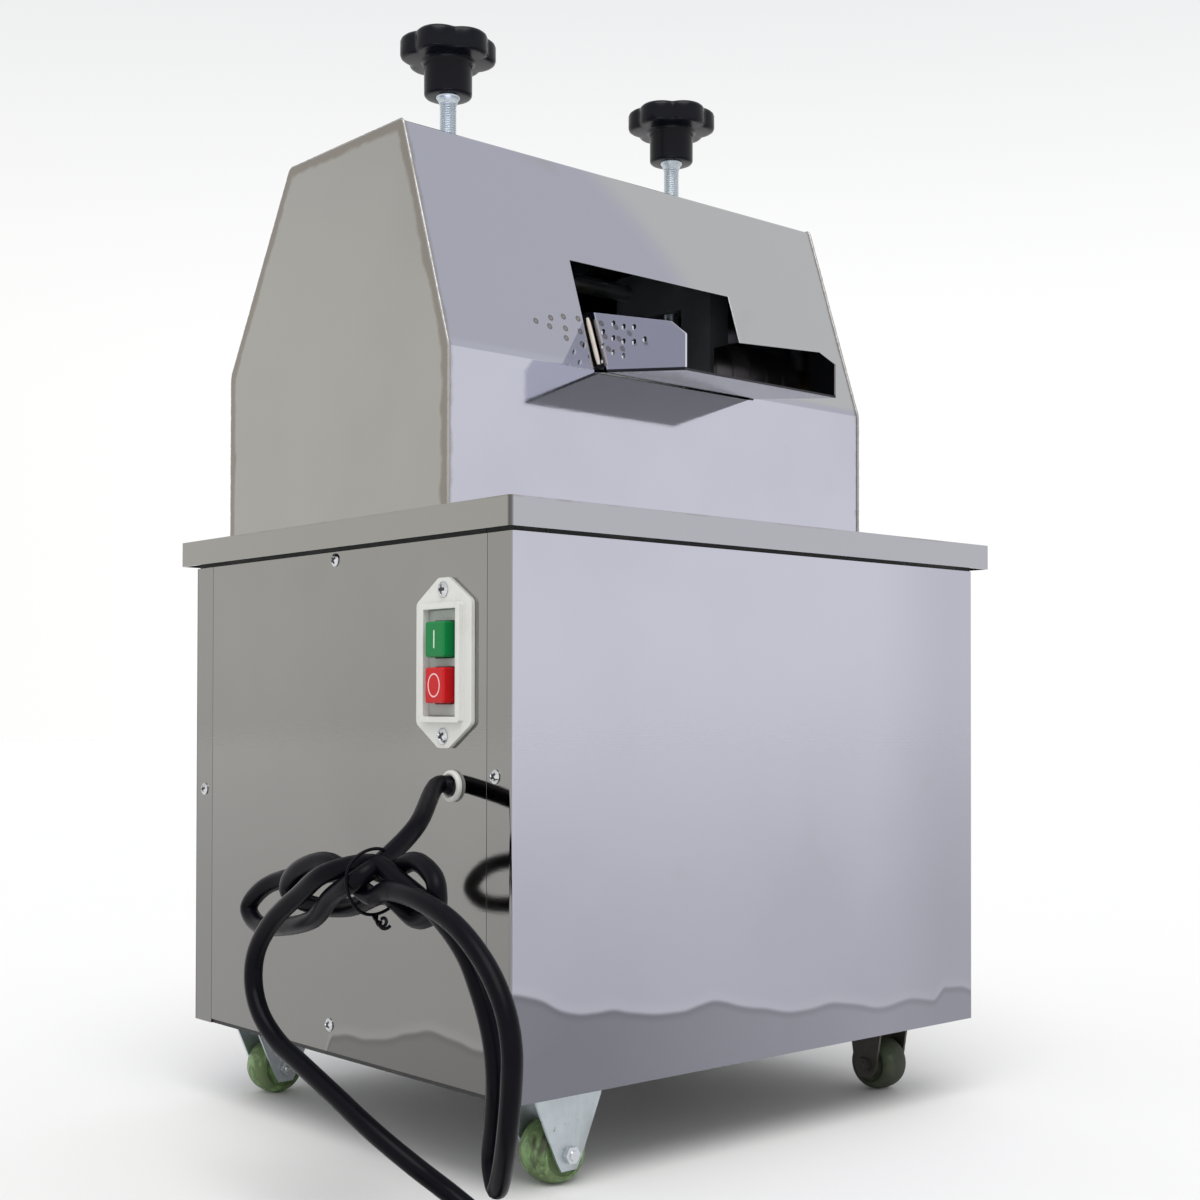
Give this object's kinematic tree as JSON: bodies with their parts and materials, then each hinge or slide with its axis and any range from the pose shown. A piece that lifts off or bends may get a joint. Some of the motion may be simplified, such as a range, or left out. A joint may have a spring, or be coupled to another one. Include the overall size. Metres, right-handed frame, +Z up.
{
  "type": "sugar cane juicer",
  "caption": "Small electric cane juicer: a folded steel cabinet on casters, a hood with a feed chute, star-knob pressure screws, a push-button switch and a mains cord.",
  "frame": {"origin": "on the floor, under the middle of the tabletop", "axes": "+Z up, -Y towards the feed side, -X towards the switch side"},
  "size_m": [0.6735, 0.5305, 0.7785],
  "materials": {
    "corner_posts": "dull dark paint",
    "base_rails": "dull dark paint",
    "top_rails": "dull dark paint",
    "base_plate": "dull dark paint",
    "front_panel": "bright, near mirror stainless sheet",
    "back_panel": "bright, near mirror stainless sheet",
    "left_panel": "bright, near mirror stainless sheet",
    "right_panel": "bright, near mirror stainless sheet",
    "tabletop": "bright stainless with wiped stains",
    "panel_screws": "bright zinc",
    "hood_wrap": "bright, near mirror stainless sheet",
    "hood_left_end": "bright stainless, welded edge",
    "hood_right_end": "bright stainless, welded edge",
    "feed_chute": "bright stainless sheet",
    "bagasse_chute": "bright stainless sheet",
    "mill_side_plates": "grey enamel on plate",
    "tie_rods": "bright zinc",
    "roller_bushes": "turned bronze",
    "top_roller": "turned stainless",
    "front_roller": "turned stainless",
    "back_roller": "turned stainless",
    "top_gear": "oiled",
    "front_gear": "oiled",
    "back_gear": "oiled",
    "bearing_blocks": "turned bronze",
    "return_springs": "drawn wire",
    "left_pressure_pad": "oiled",
    "right_pressure_pad": "oiled",
    "left_screw": "bright zinc",
    "right_screw": "bright zinc",
    "left_knob": "gloss black",
    "right_knob": "gloss black",
    "turner_plate": "ground",
    "juice_tray": "satin stainless",
    "juice_pipe": "satin stainless",
    "roller_sprocket": "oiled",
    "drive_chain": "oiled",
    "reducer": "enamel",
    "reducer_sprocket": "oiled",
    "reducer_pulley": "turned",
    "motor": "enamel",
    "motor_pulley": "turned",
    "drive_belt": "matte",
    "switch_plate": "cream, slightly glossy",
    "switch_body": "pale grey",
    "start_button": "green",
    "stop_button": "red",
    "cord_gland": "pale grey",
    "cord_run": "smooth black",
    "cord_tie": "black coated wire",
    "plug": "black moulded",
    "rigid_brackets": "zinc plated, worn",
    "rigid_axles": "zinc plated",
    "front_left_wheel": "pale green, dirty",
    "back_left_wheel": "pale green, dirty",
    "front_right_wheel": "pale green, dirty",
    "back_right_wheel": "pale green, dirty",
    "swivel_plates": "zinc plated, worn",
    "front_right_fork": "zinc plated, worn",
    "back_right_fork": "zinc plated, worn"
  },
  "bodies": {
    "chassis": {"corner_posts": "corner_posts", "base_rails": "base_rails", "top_rails": "top_rails", "base_plate": "base_plate", "front_panel": "front_panel", "back_panel": "back_panel", "left_panel": "left_panel", "right_panel": "right_panel", "tabletop": "tabletop", "panel_screws": "panel_screws", "hood_wrap": "hood_wrap", "hood_left_end": "hood_left_end", "hood_right_end": "hood_right_end", "feed_chute": "feed_chute", "bagasse_chute": "bagasse_chute", "mill_side_plates": "mill_side_plates", "tie_rods": "tie_rods", "roller_bushes": "roller_bushes", "return_springs": "return_springs", "turner_plate": "turner_plate", "juice_tray": "juice_tray", "juice_pipe": "juice_pipe", "drive_chain": "drive_chain", "reducer": "reducer", "motor": "motor", "drive_belt": "drive_belt", "switch_plate": "switch_plate", "switch_body": "switch_body", "cord_gland": "cord_gland", "cord_run": "cord_run", "cord_tie": "cord_tie", "plug": "plug", "rigid_brackets": "rigid_brackets", "rigid_axles": "rigid_axles", "swivel_plates": "swivel_plates"},
    "roller_carriage": {"bearing_blocks": "bearing_blocks"},
    "top_roller_body": {"top_roller": "top_roller", "top_gear": "top_gear"},
    "front_roller_body": {"front_roller": "front_roller", "front_gear": "front_gear"},
    "back_roller_body": {"back_roller": "back_roller", "back_gear": "back_gear", "roller_sprocket": "roller_sprocket"},
    "left_pad_body": {"left_pressure_pad": "left_pressure_pad"},
    "right_pad_body": {"right_pressure_pad": "right_pressure_pad"},
    "left_knob_body": {"left_screw": "left_screw", "left_knob": "left_knob"},
    "right_knob_body": {"right_screw": "right_screw", "right_knob": "right_knob"},
    "reducer_output": {"reducer_sprocket": "reducer_sprocket"},
    "reducer_input": {"reducer_pulley": "reducer_pulley"},
    "motor_rotor": {"motor_pulley": "motor_pulley"},
    "start_button_body": {"start_button": "start_button"},
    "stop_button_body": {"stop_button": "stop_button"},
    "front_left_wheel_body": {"front_left_wheel": "front_left_wheel"},
    "back_left_wheel_body": {"back_left_wheel": "back_left_wheel"},
    "front_right_fork_body": {"front_right_fork": "front_right_fork"},
    "back_right_fork_body": {"back_right_fork": "back_right_fork"},
    "front_right_wheel_body": {"front_right_wheel": "front_right_wheel"},
    "back_right_wheel_body": {"back_right_wheel": "back_right_wheel"}
  },
  "joints": [
    {"name": "top_roller_lift", "type": "slide", "parent": "chassis", "child": "roller_carriage", "axis": [0, 0, 1], "range_m": [0, 0.002], "stiffness_N_per_m": 20000, "springref_m": -0.002, "deforming": ["return_springs"]},
    {"name": "top_roller_spin", "type": "hinge", "parent": "roller_carriage", "child": "top_roller_body", "pos_m": [0, 0.025, 0.565], "axis": [1, 0, 0], "continuous": true},
    {"name": "front_roller_spin", "type": "hinge", "parent": "chassis", "child": "front_roller_body", "pos_m": [0, -0.012, 0.51035], "axis": [1, 0, 0], "continuous": true},
    {"name": "back_roller_spin", "type": "hinge", "parent": "chassis", "child": "back_roller_body", "pos_m": [0, 0.062, 0.51035], "axis": [1, 0, 0], "continuous": true},
    {"name": "left_screw_feed", "type": "slide", "parent": "chassis", "child": "left_pad_body", "axis": [0, 0, 1], "range_m": [-0.00175, 0.007]},
    {"name": "left_knob_turn", "type": "hinge", "parent": "left_pad_body", "child": "left_knob_body", "pos_m": [-0.1125, 0.025, 0.7575], "axis": [0, 0, 1], "range_deg": [-360, 1440]},
    {"name": "right_screw_feed", "type": "slide", "parent": "chassis", "child": "right_pad_body", "axis": [0, 0, 1], "range_m": [-0.00175, 0.007]},
    {"name": "right_knob_turn", "type": "hinge", "parent": "right_pad_body", "child": "right_knob_body", "pos_m": [0.1125, 0.025, 0.7575], "axis": [0, 0, 1], "range_deg": [-360, 1440]},
    {"name": "reducer_output_spin", "type": "hinge", "parent": "chassis", "child": "reducer_output", "pos_m": [-0.11, 0.062, 0.15], "axis": [1, 0, 0], "continuous": true},
    {"name": "reducer_input_spin", "type": "hinge", "parent": "chassis", "child": "reducer_input", "pos_m": [0.08, 0.062, 0.15], "axis": [1, 0, 0], "continuous": true},
    {"name": "motor_spin", "type": "hinge", "parent": "chassis", "child": "motor_rotor", "pos_m": [0.08, -0.095, 0.15], "axis": [1, 0, 0], "continuous": true},
    {"name": "start_button_press", "type": "slide", "parent": "chassis", "child": "start_button_body", "axis": [1, 0, 0], "range_m": [0, 0.004], "stiffness_N_per_m": 400, "springref_m": -0.001},
    {"name": "stop_button_press", "type": "slide", "parent": "chassis", "child": "stop_button_body", "axis": [1, 0, 0], "range_m": [0, 0.004], "stiffness_N_per_m": 400, "springref_m": -0.001},
    {"name": "front_left_wheel_roll", "type": "hinge", "parent": "chassis", "child": "front_left_wheel_body", "pos_m": [-0.17, -0.165, 0.02], "axis": [0, 1, 0], "continuous": true},
    {"name": "back_left_wheel_roll", "type": "hinge", "parent": "chassis", "child": "back_left_wheel_body", "pos_m": [-0.17, 0.165, 0.02], "axis": [0, 1, 0], "continuous": true},
    {"name": "front_right_swivel", "type": "hinge", "parent": "chassis", "child": "front_right_fork_body", "pos_m": [0.188, -0.145, 0.05], "axis": [0, 0, 1], "continuous": true},
    {"name": "front_right_wheel_roll", "type": "hinge", "parent": "front_right_fork_body", "child": "front_right_wheel_body", "pos_m": [0.188, -0.129, 0.02], "axis": [1, 0, 0], "continuous": true},
    {"name": "back_right_swivel", "type": "hinge", "parent": "chassis", "child": "back_right_fork_body", "pos_m": [0.188, 0.145, 0.05], "axis": [0, 0, 1], "continuous": true},
    {"name": "back_right_wheel_roll", "type": "hinge", "parent": "back_right_fork_body", "child": "back_right_wheel_body", "pos_m": [0.188, 0.129, 0.02], "axis": [1, 0, 0], "continuous": true}
  ],
  "couplings": [
    {"joint": "top_roller_spin", "follows": "back_roller_spin", "ratio": -1},
    {"joint": "front_roller_spin", "follows": "back_roller_spin", "ratio": 1},
    {"joint": "reducer_output_spin", "follows": "back_roller_spin", "ratio": 1.5},
    {"joint": "reducer_input_spin", "follows": "back_roller_spin", "ratio": 22.5},
    {"joint": "motor_spin", "follows": "back_roller_spin", "ratio": 43.27},
    {"joint": "left_knob_turn", "follows": "left_screw_feed", "rad_per_m": 3590.4},
    {"joint": "right_knob_turn", "follows": "right_screw_feed", "rad_per_m": 3590.4}
  ]
}
